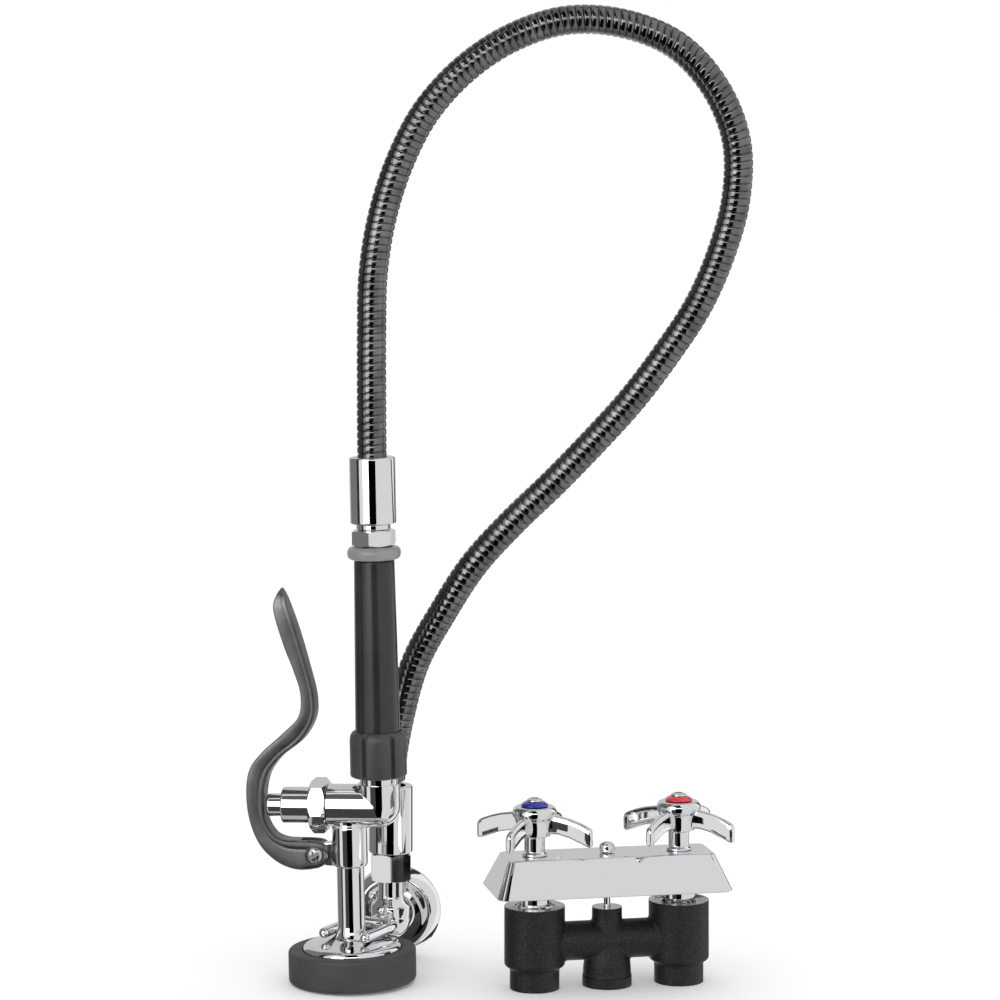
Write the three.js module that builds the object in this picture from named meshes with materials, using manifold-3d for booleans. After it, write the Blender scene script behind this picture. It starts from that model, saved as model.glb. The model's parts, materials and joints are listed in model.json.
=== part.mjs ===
// Pre-rinse faucet: a hand spray valve on a looped steel hose that springs from a wall outlet
// elbow with a rest fork, and the concealed two-handle mixing valve that feeds it.
// Millimetres, +X right, +Y towards the wall, +Z up. Z = 0 is the lowest face of the set.
import * as THREE from 'three';
import { mergeVertices } from 'three/addons/utils/BufferGeometryUtils.js';
import Module from 'manifold-3d';

const wasm = await Module();
wasm.setup();

// ---------------------------------------------------------------- driving dimensions
const GAP = 0.3; // running gap between pieces that touch
const FINE = 16; // facets round a large turned piece
const PLAIN = 12; // facets round a small turned piece

const SPRAY_BASE = [-95, -16, 0.92]; // foot of the spray tube's axis
const SPRAY_LEAN = 1.2; // degrees, the hose pushes the handle over to the left
const SPRAY_YAW = 9; // degrees, button end turned away
const HANDLE_X = 21.2; // handle axis from the spray tube's axis
const BARREL_Z = 120.2; // axis of the valve barrel
const PIVOT = [-23.4, 87.1]; // lever pivot, x and z

const OUTLET = [-70.5, 32.5, 32]; // centre of the wall elbow
const OUTLET_YAW = 6; // degrees
const FORK_YAW = 21.5; // degrees, fork from the elbow's own axis
const FLANGE_BACK = 30; // wall face from the elbow's centre

const MIXER = [80, -24.5, 0]; // foot of the mixing valve's centre axis
const MIXER_YAW = 11.3; // degrees
const VALVE_SPACING = 101.6; // 4 inch centres
const COLD_ARMS = -36.3; // degrees, first cold handle arm from the mixer's own X axis
const HOT_ARMS = -43.2; // degrees, the same for the hot handle

const HOSE_RADIUS = 10.25;
const FERRULE_BORE = 10.9;
const BODY_TOP = 56.3; // machined top of the mixing valve's end barrels
const PLATE_BASE = 66.6; // escutcheon rim
const PLATE_TOP = 90.6; // escutcheon top
const HANDLE_TOP = 124.3; // top plane of the handle hubs

// Free run of the hose, from inside the handle ferrule to inside the wall ferrule.
const HOSE_ROUTE = [
  [-81.4, -19.3, 352.4], [-81.8, -19.3, 372], [-82, -19, 408], [-82, -18, 447], [-81, -18, 487],
  [-75, -16, 526], [-63, -15, 564], [-45, -13, 599], [-18, -11, 629], [15, -8, 651],
  [52, -6, 663], [92, -3, 661], [129, -1, 646], [156, 2, 617], [171, 5, 580], [171, 8, 540],
  [161, 10, 502], [145, 13, 465], [123, 16, 431], [99, 18, 399], [72, 20, 369], [44, 22, 340],
  [15, 24, 312], [-12, 27, 282], [-34, 29, 248], [-53, 31, 213], [-64, 32, 174],
  [-69.8, 32.5, 140], [-70.5, 32.5, 116],
];

// ---------------------------------------------------------------- materials
function finish(color, roughness, metalness) {
  return new THREE.MeshStandardMaterial({ color, roughness, metalness });
}

const chrome = finish(0xd8dadc, 0.06, 1);
const steel = finish(0x9a9a98, 0.25, 1);
const satinMetal = finish(0x6e6e6e, 0.45, 0.8);
const brass = finish(0xb9995a, 0.35, 1);
const casting = finish(0x2b2b2d, 0.7, 0.6);
const gripRubber = finish(0x464648, 0.35, 0);
const greyPlastic = finish(0x969696, 0.35, 0);
const blackRubber = finish(0x303030, 0.6, 0);
const coldBlue = finish(0x2323aa, 0.25, 0);
const hotRed = finish(0xe12832, 0.25, 0);

// ---------------------------------------------------------------- solids
function weld(geometry) {
  const bare = geometry.index ? geometry.clone() : geometry;
  bare.deleteAttribute('normal');
  bare.deleteAttribute('uv');
  const welded = mergeVertices(bare, 1e-4);
  const index = welded.index.array;
  const triVerts = [];
  for (let i = 0; i < index.length; i += 3) {
    const [a, b, c] = [index[i], index[i + 1], index[i + 2]];
    if (a !== b && b !== c && c !== a) triVerts.push(a, b, c);
  }
  return { vertProperties: Float32Array.from(welded.attributes.position.array), triVerts };
}

function toManifold(geometry) {
  const { vertProperties, triVerts } = weld(geometry);
  const build = (corners) => new wasm.Manifold(
    new wasm.Mesh({ numProp: 3, vertProperties, triVerts: Uint32Array.from(corners) }),
  );
  const made = build(triVerts);
  return made.volume() > 0 ? made : build(triVerts.reverse());
}

function toGeometry(manifold) {
  const mesh = manifold.getMesh();
  const geometry = new THREE.BufferGeometry();
  geometry.setAttribute('position', new THREE.BufferAttribute(mesh.vertProperties, 3));
  geometry.setIndex(new THREE.BufferAttribute(mesh.triVerts, 1));
  return geometry;
}

function join(...geometries) {
  return toGeometry(geometries.map(toManifold).reduce((whole, part) => whole.add(part)));
}

function cut(geometry, ...tools) {
  return toGeometry(tools.map(toManifold).reduce((whole, tool) => whole.subtract(tool), toManifold(geometry)));
}

// Solid of revolution about Z from [radius, z] points; the outline closes itself.
function turned(outline, facets = PLAIN) {
  const points = outline.map(([r, z]) => new THREE.Vector2(r, z));
  points.push(points[0].clone());
  return new THREE.LatheGeometry(points, facets).rotateX(Math.PI / 2);
}

function rod(radius, low, high, facets = PLAIN) {
  return turned([[0, low], [radius, low], [radius, high], [0, high]], facets);
}

function ring(inner, outer, low, high, facets = PLAIN) {
  return turned([[inner, low], [outer, low], [outer, high], [inner, high]], facets);
}

// Turns a Z-axis piece onto +X.
function alongX(geometry) {
  return geometry.rotateY(Math.PI / 2);
}

// Turns a Z-axis piece onto +Y.
function alongY(geometry) {
  return geometry.rotateX(-Math.PI / 2);
}

// Regular hexagonal prism about Z.
function hexagon(cornerRadius, low, high, turn = 0) {
  return rod(cornerRadius, low, high, 6).rotateZ(THREE.MathUtils.degToRad(turn));
}

// Plate in the XZ plane, centred on Y = 0.
function plateXZ(shape, thickness, curveSegments = 6) {
  const plate = new THREE.ExtrudeGeometry(shape, { depth: thickness, bevelEnabled: false, curveSegments });
  return plate.translate(0, 0, -thickness / 2).rotateX(Math.PI / 2);
}

function block(sizeX, sizeY, sizeZ, x, y, z) {
  return new THREE.BoxGeometry(sizeX, sizeY, sizeZ).translate(x, y, z);
}

// Round bar along a smooth line through the given points.
function bar(points, radius, sides, steps) {
  const path = new THREE.CatmullRomCurve3(points.map((p) => new THREE.Vector3(...p)));
  const section = new THREE.Shape();
  for (let i = 0; i < sides; i += 1) {
    const angle = (2 * Math.PI * i) / sides;
    section[i ? 'lineTo' : 'moveTo'](radius * Math.cos(angle), radius * Math.sin(angle));
  }
  return new THREE.ExtrudeGeometry(section, { steps, bevelEnabled: false, extrudePath: path });
}

// Closed skin over a stack of outlines that all have the same number of [x, y, z] points.
function loft(outlines) {
  const count = outlines[0].length;
  const vertices = outlines.flat(2);
  const faces = [];
  for (let row = 0; row + 1 < outlines.length; row += 1) {
    for (let i = 0; i < count; i += 1) {
      const a = row * count + i;
      const b = row * count + ((i + 1) % count);
      faces.push(a, b, b + count, a, b + count, a + count);
    }
  }
  const last = (outlines.length - 1) * count;
  for (let i = 1; i + 1 < count; i += 1) {
    faces.push(0, i + 1, i, last, last + i, last + i + 1);
  }
  const geometry = new THREE.BufferGeometry();
  geometry.setAttribute('position', new THREE.Float32BufferAttribute(vertices, 3));
  geometry.setIndex(faces);
  return geometry;
}

// Rounded rectangle at height z, corners of radius r in `steps` pieces each.
function roundedRectangle(width, depth, r, z, steps = 4) {
  const outline = [];
  const corners = [[1, 1, 0], [-1, 1, 90], [-1, -1, 180], [1, -1, 270]];
  for (const [sx, sy, start] of corners) {
    for (let i = 0; i <= steps; i += 1) {
      const angle = THREE.MathUtils.degToRad(start + (90 * i) / steps);
      const x = sx * (width / 2 - r) + r * Math.cos(angle);
      const y = sy * (depth / 2 - r) + r * Math.sin(angle);
      outline.push([x, y, z]);
    }
  }
  return outline;
}

function piece(name, geometry, material) {
  const mesh = new THREE.Mesh(toGeometry(toManifold(geometry)), material);
  mesh.name = name;
  return mesh;
}

function placed(position, rotationDegrees, ...members) {
  const group = new THREE.Group();
  group.position.set(...position);
  group.rotation.set(...rotationDegrees.map(THREE.MathUtils.degToRad));
  group.add(...members.flat());
  return group;
}

// ---------------------------------------------------------------- hose end fittings
// Swivel end of the hose, standing on its nut's underside at z = 0: nut, sealing washer,
// tailpiece that the hose is crimped to, and the chrome ferrule over the crimp.
const NUT_LIP = 2.6;

function hoseNut(name, cornerRadius, height, turn) {
  const outer = hexagon(cornerRadius, 0, height, turn);
  const thread = rod(9.1, -1, height - NUT_LIP);
  const hole = rod(7.6, 0, height + 1);
  return piece(name, cut(outer, thread, hole), chrome);
}

function hoseWasher(name, low) {
  return piece(name, ring(5.6, 8.7, low, low + 1.8), blackRubber);
}

function hoseTailpiece(name, flangeLow, nutTop, collarRadius, collarTop, top) {
  const outline = [
    [5, flangeLow], [8.7, flangeLow], [8.7, flangeLow + 1.6], [7.2, flangeLow + 1.6],
    [7.2, nutTop + GAP], [collarRadius, nutTop + GAP], [collarRadius, collarTop], [7.2, collarTop],
    [7.2, top], [5, top],
  ];
  return piece(name, turned(outline), brass);
}

function hoseFerrule(name, radius, low, high, hoseEnd) {
  const outline = [
    [7.6, low], [radius - 0.8, low], [radius, low + 0.8], [radius, high - 1.2], [radius - 1.2, high],
    [FERRULE_BORE, high], [FERRULE_BORE, hoseEnd], [7.6, hoseEnd],
  ];
  return piece(name, turned(outline), chrome);
}

// ---------------------------------------------------------------- wall outlet
const ELBOW_RADIUS = 14;
const ELBOW_NECK_TOP = 40;
const LOWER_NUT_BASE = 27.7;
const LOWER_NUT_HEIGHT = 19.4;
const LOWER_FERRULE = [47.4, 94.1];
const FORK_SPACING = 32.5; // between prong centres
const FORK_LENGTH = 68; // from the elbow's centre
const FORK_ROOT = 21.5; // crossbar from the elbow's centre
const PRONG_RADIUS = 3.7;

function outletElbow() {
  const bend = new THREE.SphereGeometry(ELBOW_RADIUS, PLAIN, 8);
  const neck = turned([
    [0, 0], [ELBOW_RADIUS, 0], [ELBOW_RADIUS, 10.5], [11.8, 14], [9, 15], [8.8, ELBOW_NECK_TOP],
    [0, ELBOW_NECK_TOP],
  ]);
  const branch = alongY(rod(13.5, 0, 24));
  const waterway = rod(6, 0, ELBOW_NECK_TOP + 1, 16);
  const inlet = alongY(rod(6, 0, 14, 16));
  const thread = alongY(rod(9.6, 12, 25));
  return piece('outlet_elbow', cut(join(bend, neck, branch), waterway, inlet, thread), chrome);
}

function wallNipple() {
  return piece('wall_nipple', alongY(ring(6.6, 9.3, 12.4, 43)), brass);
}

function wallFlange() {
  const bell = turned([
    [31.8, 0], [31.8, -1.4], [30.2, -5.5], [27.6, -10.5], [25.2, -13], [22.8, -12.4], [19.5, -11],
    [14.2, -10.6], [14.2, -8.8], [18.8, -9], [22.6, -9.8], [25.2, -8.6], [28, -4], [29, 0],
  ], FINE);
  return piece('wall_flange', alongY(bell).translate(0, FLANGE_BACK, 0), chrome);
}

function restFork() {
  const half = FORK_SPACING / 2;
  const bend = 7;
  const side = (s) => [
    [0, -FORK_ROOT, 0], [s * (half - bend), -FORK_ROOT, 0],
    [s * (half - 0.25 * bend), -FORK_ROOT - 0.3 * bend, 0], [s * half, -FORK_ROOT - bend, 0],
    [s * half, -(FORK_ROOT + FORK_LENGTH) / 2, 0], [s * half, -FORK_LENGTH + PRONG_RADIUS, 0],
  ];
  const prong = (s) => bar(side(s), PRONG_RADIUS, 8, 9);
  const tip = (s) => new THREE.SphereGeometry(PRONG_RADIUS, 8, 6)
    .translate(s * half, -FORK_LENGTH + PRONG_RADIUS, 0);
  const knuckle = new THREE.SphereGeometry(PRONG_RADIUS * 1.15, 8, 6).translate(0, -FORK_ROOT, 0);
  const stem = alongY(rod(5.5, -FORK_ROOT, -ELBOW_RADIUS - GAP, 14));
  const fork = join(prong(-1), prong(1), tip(-1), tip(1), knuckle, stem);
  return piece('rest_fork', fork, chrome);
}

function wallOutlet() {
  const nut = hoseNut('outlet_hose_nut', 15.6, LOWER_NUT_HEIGHT, 11.5);
  const nutTop = LOWER_NUT_BASE + LOWER_NUT_HEIGHT;
  const [ferruleLow, ferruleHigh] = LOWER_FERRULE;
  nut.position.z = LOWER_NUT_BASE;
  return placed(OUTLET, [0, 0, -OUTLET_YAW], [
    outletElbow(),
    wallNipple(),
    wallFlange(),
    placed([0, 0, 1.5], [0, 0, -FORK_YAW], restFork()),
    nut,
    hoseWasher('outlet_hose_washer', ELBOW_NECK_TOP + GAP),
    hoseTailpiece('outlet_hose_tailpiece', ELBOW_NECK_TOP + 2.4, nutTop - GAP, 7.2, nutTop, 74),
    hoseFerrule('outlet_hose_ferrule', 15.7, ferruleLow, ferruleHigh, 62),
  ]);
}

function hose() {
  return piece('hose', bar(HOSE_ROUTE, HOSE_RADIUS, 10, 40), steel);
}

// ---------------------------------------------------------------- spray valve: handle
const HANDLE_TUBE = [130, 303.5];
const HANDLE_NUT = [299.5, 310.5];
const UPPER_FERRULE = [314.7, 360.6];
const GRIP = [160.3, 289.4];
const COLLAR = [140.6, 172.1];
const COLLAR_LOBES = 6;
const COLLAR_TURN = 11.85; // degrees, a groove from the handle's X axis

function handleTube() {
  const [low, high] = HANDLE_TUBE;
  return piece('handle_tube', ring(6, 8.5, low, high), brass);
}

function grip() {
  const [low, high] = GRIP;
  const sleeve = turned([
    [8.9, low], [15.4, low], [15.5, low + 11], [14, high - 0.8], [13.2, high], [8.9, high],
  ], FINE);
  return piece('grip', sleeve, gripRubber);
}

function gripCollar() {
  const [low, high] = COLLAR;
  const lobe = [[-3, 1], [3, 1], [5.5, 0], [17.5, 0], [30, 0], [42.5, 0], [54.5, 0]];
  const outline = (radius, groove, z) => {
    const points = [];
    for (let i = 0; i < COLLAR_LOBES; i += 1) {
      for (const [turn, depth] of lobe) {
        const angle = THREE.MathUtils.degToRad((360 * i) / COLLAR_LOBES + turn);
        const r = radius - groove * depth;
        points.push([r * Math.cos(angle), r * Math.sin(angle), z]);
      }
    }
    return points;
  };
  const fluted = loft([
    outline(18.6, 2.2, low), outline(19.7, 3, low + 1.2), outline(19.7, 3, high - 5),
    outline(17.6, 1.2, high - 0.8), outline(16.6, 0.4, high),
  ]).rotateZ(THREE.MathUtils.degToRad(COLLAR_TURN));
  const socket = rod(15.9, GRIP[0] - GAP, high + 1, FINE);
  const hole = rod(8.9, low - 1, high);
  return piece('grip_collar', cut(fluted, socket, hole), gripRubber);
}

function gripRing() {
  const outline = [];
  const steps = 8;
  for (let i = 0; i < steps; i += 1) {
    const angle = (2 * Math.PI * i) / steps;
    outline.push([13.8 + 4.8 * Math.cos(angle), 294.4 + 4.6 * Math.sin(angle)]);
  }
  return piece('grip_ring', turned(outline, FINE), greyPlastic);
}

function handle() {
  const [nutLow, nutHigh] = HANDLE_NUT;
  const nut = hoseNut('handle_nut', 15.8, nutHigh - nutLow, -1.5);
  const [ferruleLow, ferruleHigh] = UPPER_FERRULE;
  nut.position.z = nutLow;
  return placed([HANDLE_X, 0, 0], [0, 0, 0], [
    handleTube(),
    grip(),
    gripCollar(),
    gripRing(),
    nut,
    hoseWasher('handle_hose_washer', HANDLE_TUBE[1] + GAP),
    hoseTailpiece('handle_hose_tailpiece', HANDLE_TUBE[1] + 2.4, nutHigh, 11.9, ferruleLow - GAP, 341),
    hoseFerrule('handle_hose_ferrule', 16, ferruleLow, ferruleHigh, 330),
  ]);
}

// ---------------------------------------------------------------- spray valve: body
const BARREL_RADIUS = 14.7;
const BARREL_BORE = 9.3;
const BARREL_LEFT = -21.5; // end of the barrel's thread
const BARREL_SHOULDER = -13.8;
const BARREL_RIGHT = 31; // end of the barrel's bore
const OUTLET_COLLAR = [78.5, 107];

function valveBody() {
  const barrel = alongX(turned([
    [0, BARREL_LEFT], [13.2, BARREL_LEFT], [13.2, BARREL_SHOULDER], [BARREL_RADIUS, BARREL_SHOULDER],
    [BARREL_RADIUS, HANDLE_X], [0, HANDLE_X],
  ], FINE)).translate(0, 0, BARREL_Z);
  const corner = new THREE.SphereGeometry(BARREL_RADIUS, FINE, 10).translate(HANDLE_X, 0, BARREL_Z);
  const leg = turned([
    [0, BARREL_Z], [BARREL_RADIUS, BARREL_Z], [BARREL_RADIUS, 135], [13.2, 136.5], [13.2, 140.3],
    [0, 140.3],
  ], FINE).translate(HANDLE_X, 0, 0);
  const [collarLow, collarHigh] = OUTLET_COLLAR;
  const stub = turned([
    [0, collarLow], [11, collarLow], [12.2, collarLow + 1.6], [12.2, collarHigh - 1], [11, collarHigh],
    [11, BARREL_Z], [0, BARREL_Z],
  ], FINE);
  const lugOutline = new THREE.Shape();
  const [pivotX, pivotZ] = PIVOT;
  lugOutline.moveTo(-8, pivotZ + 8);
  lugOutline.lineTo(pivotX, pivotZ + 7);
  lugOutline.absarc(pivotX, pivotZ, 7, Math.PI / 2, 1.5 * Math.PI, false);
  lugOutline.lineTo(-8, pivotZ - 8);
  const lug = plateXZ(lugOutline, 8);
  const whole = join(barrel, corner, leg, stub, lug);
  return piece('valve_body', cut(
    whole,
    alongX(rod(BARREL_BORE, BARREL_LEFT - 1, BARREL_RIGHT, FINE)).translate(0, 0, BARREL_Z),
    rod(8.8, BARREL_Z, 141).translate(HANDLE_X, 0, 0),
    rod(6.5, 90, BARREL_Z, 16),
    rod(9.8, collarLow - 1, 97, FINE),
    alongY(rod(3.1, -9, 9, 14)).translate(pivotX, 0, pivotZ),
  ), chrome);
}

function onBarrel(name, geometry, material) {
  return piece(name, alongX(geometry).translate(0, 0, BARREL_Z), material);
}

function bonnetNut() {
  const outer = hexagon(19.3, -26.3, -14.1, 12.7);
  return onBarrel('bonnet_nut', cut(outer, rod(12.7, -27, -20, FINE), rod(13.6, -24.1, -13, FINE)), chrome);
}

function bonnet() {
  return onBarrel('bonnet', turned([
    [8.1, -46.4], [11.2, -46.4], [12.4, -45.2], [12.4, -23.8], [13.3, -23.8], [13.3, -21.8],
    [9, -21.8], [9, -12], [5.3, -12], [5.3, -18], [2.8, -18], [2.8, -34], [8.1, -34],
  ], FINE), chrome);
}

function valveInternals() {
  return [
    onBarrel('stem_packing', ring(2.8, 5, -17.7, -12.3, 16), blackRubber),
    onBarrel('valve_seat', ring(4.5, 9, 5.5, 9), brass),
  ];
}

function plunger() {
  const outline = [
    [0, -57.5], [6.2, -57.5], [7.8, -56.2], [7.8, -42], [2.5, -42], [2.5, 16], [0, 16],
  ];
  return onBarrel('plunger', turned(outline), chrome);
}

function plungerParts() {
  return [
    onBarrel('valve_disc', ring(2.8, 6.5, 9.3, 12.2, 16), blackRubber),
    onBarrel('disc_nut', cut(hexagon(4.6, 12.5, 15), rod(2.8, 12, 16, 16)), brass),
  ];
}

function returnSpring() {
  const turns = 4;
  const perTurn = 8;
  const [start, end] = [13.2, 30];
  const points = [];
  for (let i = 0; i <= turns * perTurn; i += 1) {
    const angle = (2 * Math.PI * i) / perTurn;
    const x = start + ((end - start) * i) / (turns * perTurn);
    points.push([x, 6.6 * Math.cos(angle), BARREL_Z + 6.6 * Math.sin(angle)]);
  }
  return piece('return_spring', bar(points, 0.65, 5, turns * perTurn), steel);
}

// ---------------------------------------------------------------- spray valve: head
function sprayBell() {
  const shell = turned([
    [6.5, 96], [9.5, 96], [9.5, 36.5], [10.6, 32], [13, 29.2], [17, 27.8], [24, 26.9], [30, 26.2],
    [33, 24.9], [34, 22.8], [34, 14], [29.6, 14], [29.6, 18.6], [14, 22.6], [6.5, 25],
  ], FINE);
  const post = rod(4.6, 16, 26, 12);
  const rib = (angle) => block(60, 2.6, 5, 0, 0, 21).rotateZ(angle);
  const spider = toGeometry(toManifold(join(rib(0), rib(Math.PI / 3), rib(-Math.PI / 3)))
    .intersect(toManifold(turned([[0, 17.5], [30.5, 17.5], [30.5, 20.4], [14, 24.4], [8, 26.4], [0, 26.4]], 12))));
  return piece('spray_bell', cut(join(shell, post, spider), rod(2.1, 15, 24.5, 12)), chrome);
}

function sprayFace() {
  const plate = rod(29.2, 9.6, 12.2, FINE);
  const holes = [rod(2.2, 9, 13, 12)];
  for (const [count, radius] of [[6, 10], [12, 20]]) {
    for (let i = 0; i < count; i += 1) {
      const angle = (2 * Math.PI * i) / count;
      holes.push(rod(1.1, 9, 13, 6).translate(radius * Math.cos(angle), radius * Math.sin(angle), 0));
    }
  }
  return piece('spray_face', cut(plate, ...holes), steel);
}

function sprayHead() {
  const bumper = turned([
    [34.4, 13.6], [34.4, 22.2], [41.6, 22.2], [43.4, 21.4], [44, 19.6], [44, 3.4], [42.8, 1], [41, 0],
    [32, 0], [30, 2], [30, 13.6],
  ], FINE);
  const screw = turned([[0, 6.8], [4.2, 6.8], [4.6, 7.6], [4.6, 9.3], [1.8, 9.3], [1.8, 22], [0, 22]], 12);
  return [
    sprayBell(),
    sprayFace(),
    piece('face_gasket', ring(24.5, 29.2, 12.5, 13.7), blackRubber),
    piece('face_screw', screw, steel),
    piece('bumper', bumper, blackRubber),
  ];
}

// ---------------------------------------------------------------- spray valve: lever
const LEVER_WIDTH = 17;
const LUG_SLOT = 8.8;
const SCREW_SEAT = 7.3; // bottom of the screw's recess, from the lever's middle
const OUTER_EDGE = [
  [-49.4, 256], [-43.1, 232.8], [-35.8, 213.4], [-31.5, 197], [-33.6, 182], [-44.4, 170.7],
  [-60.1, 156.9], [-68.9, 145.9], [-71.2, 126.6], [-68.1, 106.6], [-60.7, 91.4], [-48.4, 80.8],
  [-32, 76.3],
];
const INNER_EDGE = [
  [-38.3, 96.9], [-51.5, 100.3], [-58, 110.7], [-58.8, 121], [-58.7, 129], [-55.5, 141.7], [-46.9, 153.4],
  [-30.5, 166.6], [-22.8, 180.3], [-21.8, 194.1], [-26.7, 216.9], [-33.8, 242.4], [-40.4, 261.7],
];

function lever() {
  const vectors = (edge) => edge.map(([x, z]) => new THREE.Vector2(x, z));
  const [pivotX, pivotZ] = PIVOT;
  const outline = new THREE.Shape();
  outline.moveTo(-44, 269.6);
  outline.splineThru(vectors(OUTER_EDGE));
  outline.lineTo(-19.3, 78.4);
  outline.absarc(pivotX, pivotZ, 9.6, -1.1, Math.PI / 2, false);
  outline.lineTo(-38.3, 96.9);
  outline.splineThru(vectors(INNER_EDGE.slice(1)));
  const blade = plateXZ(outline, LEVER_WIDTH, 2);
  const slot = block(26, LUG_SLOT, 30, -20.6, 0, pivotZ);
  const eye = alongY(rod(3.1, -12, 12, 14)).translate(pivotX, 0, pivotZ);
  const recess = alongY(rod(6.6, -LEVER_WIDTH, -SCREW_SEAT, 16)).translate(pivotX, 0, pivotZ);
  return piece('lever', cut(blade, slot, eye, recess), satinMetal);
}

function leverPin() {
  const [pivotX, pivotZ] = PIVOT;
  const face = LEVER_WIDTH / 2 + GAP;
  const seat = SCREW_SEAT + GAP;
  const head = turned([
    [0, seat + 2.8], [3.6, seat + 2.6], [5.5, seat + 1.4], [5.5, seat], [2.8, seat], [2.8, -face - 3.4],
    [0, -face - 3.4],
  ], 16).rotateX(Math.PI / 2);
  const nut = cut(
    rod(5, face, face + 3, 6).rotateX(-Math.PI / 2),
    rod(3.1, face - 1, face + 4, 16).rotateX(-Math.PI / 2),
  );
  return [
    piece('lever_screw', head.translate(pivotX, 0, pivotZ), steel),
    piece('lever_nut', nut.translate(pivotX, 0, pivotZ), steel),
  ];
}

function sprayValve() {
  return placed(SPRAY_BASE, [0, -SPRAY_LEAN, -SPRAY_YAW], [
    handle(),
    valveBody(),
    bonnetNut(),
    bonnet(),
    valveInternals(),
    plunger(),
    plungerParts(),
    returnSpring(),
    sprayHead(),
    lever(),
    leverPin(),
  ].flat());
}

// ---------------------------------------------------------------- mixing valve
const END_RADIUS = 20.8;
const PORT_RADIUS = 17;
const PORT_BORE = 11;
const CROSS_Z = 31;
const CROSS_RADIUS = 13.2;
const BOSS_TOP = 53.5;
const CHAMBER_RADIUS = 13.2;

function endBarrel(side) {
  return turned([
    [0, 0], [PORT_RADIUS - 1.4, 0], [PORT_RADIUS, 1.4], [PORT_RADIUS, 13.6], [END_RADIUS, 16.2],
    [END_RADIUS, BODY_TOP], [0, BODY_TOP],
  ], FINE).translate(side * VALVE_SPACING / 2, 0, 0);
}

function endBores(side) {
  const shift = side * VALVE_SPACING / 2;
  return [
    rod(CHAMBER_RADIUS, 30, BODY_TOP + 1).translate(shift, 0, 0),
    rod(8.4, 24, 31).translate(shift, 0, 0),
    rod(7, 15, 31).translate(shift, 0, 0),
    rod(PORT_BORE, -1, 17).translate(shift, 0, 0),
  ];
}

function mixerBody() {
  const centre = turned([
    [0, 0], [PORT_RADIUS - 1.6, 0], [PORT_RADIUS, 1.6], [PORT_RADIUS - 0.6, 13], [PORT_RADIUS - 2, 20],
    [13, 27], [10.4, 44], [10.3, BOSS_TOP], [0, BOSS_TOP],
  ], FINE);
  const cross = alongX(rod(CROSS_RADIUS, -VALVE_SPACING / 2, VALVE_SPACING / 2, FINE))
    .translate(0, 0, CROSS_Z);
  const passage = alongX(rod(6.4, -VALVE_SPACING / 2 + 6, VALVE_SPACING / 2 - 6, 10))
    .translate(0, 0, 37.5);
  return piece('mixer_body', cut(
    join(endBarrel(-1), endBarrel(1), centre, cross),
    ...endBores(-1),
    ...endBores(1),
    passage,
    rod(PORT_BORE, -1, 17),
    rod(6.4, 16, 37.5, 10),
    rod(2.6, 47, BOSS_TOP + 1, 12),
  ), casting);
}

function escutcheon() {
  const outer = loft([
    roundedRectangle(164, 65, 7, PLATE_BASE),
    roundedRectangle(163.4, 64.4, 7, PLATE_BASE + 1.2),
    roundedRectangle(145.6, 37.6, 5, PLATE_TOP - 0.7),
    roundedRectangle(144.4, 36.4, 4.6, PLATE_TOP),
  ]);
  const inner = loft([
    roundedRectangle(158, 59, 5, PLATE_BASE - 1, 2),
    roundedRectangle(141, 32.4, 3.4, PLATE_TOP - 2.8, 2),
  ]);
  const holes = [-1, 1].map((side) => rod(7.8, 80, 100).translate(side * VALVE_SPACING / 2, 0, 0));
  return piece('escutcheon', cut(outer, inner, ...holes, rod(2.8, 80, 100, 12)), chrome);
}

function centreScrew() {
  const head = turned([
    [0, 49], [2.3, 49], [2.3, PLATE_TOP + GAP], [4.8, PLATE_TOP + GAP], [5.3, PLATE_TOP + 1.2],
    [5.3, PLATE_TOP + 5], [4.6, PLATE_TOP + 6.2], [3, PLATE_TOP + 6.9], [0, PLATE_TOP + 7],
  ], 18);
  const slot = block(12, 1.3, 2, 0, 0, PLATE_TOP + 6.5).rotateZ(0.6);
  return piece('escutcheon_screw', cut(head, slot), chrome);
}

// Cartridge and stem of one side, about its own axis.
function cartridge(prefix) {
  const bonnetOutline = [
    [3.3, 41], [12.9, 41], [12.9, BODY_TOP - 0.5], [11.6, BODY_TOP + 0.6], [11.6, 62], [7.4, 62.6],
    [7.4, 78], [5.6, 78.4], [5.6, 104], [3.3, 104],
  ];
  const sleeveOutline = [
    [5.9, 79], [7.2, 79], [7.2, PLATE_TOP + GAP], [8.6, PLATE_TOP + GAP], [9, PLATE_TOP + 1.4],
    [7.2, PLATE_TOP + 2.8], [7.2, 103.6], [5.9, 103.6],
  ];
  return [
    piece(`${prefix}_bonnet`, turned(bonnetOutline), brass),
    piece(`${prefix}_stem_sleeve`, turned(sleeveOutline), chrome),
    piece(`${prefix}_bonnet_washer`, ring(9.4, 12.9, 39.2, 40.7), blackRubber),
    piece(`${prefix}_seat`, ring(4, 8.1, 26, 30), brass),
  ];
}

function discHolder(prefix) {
  return [
    piece(`${prefix}_disc_holder`, turned([
      [0, 32.2], [5, 32.2], [7.4, 33], [7.4, 35.6], [2.6, 35.6], [2.6, 38], [0, 38],
    ], 16), brass),
    piece(`${prefix}_seat_washer`, ring(2, 7, 30.3, 31.9, 16), blackRubber),
  ];
}

// Four-arm handle; the hub's top plane is z = 0 and one arm ends in an eye.
const HUB_BOTTOM = -20;

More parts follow.
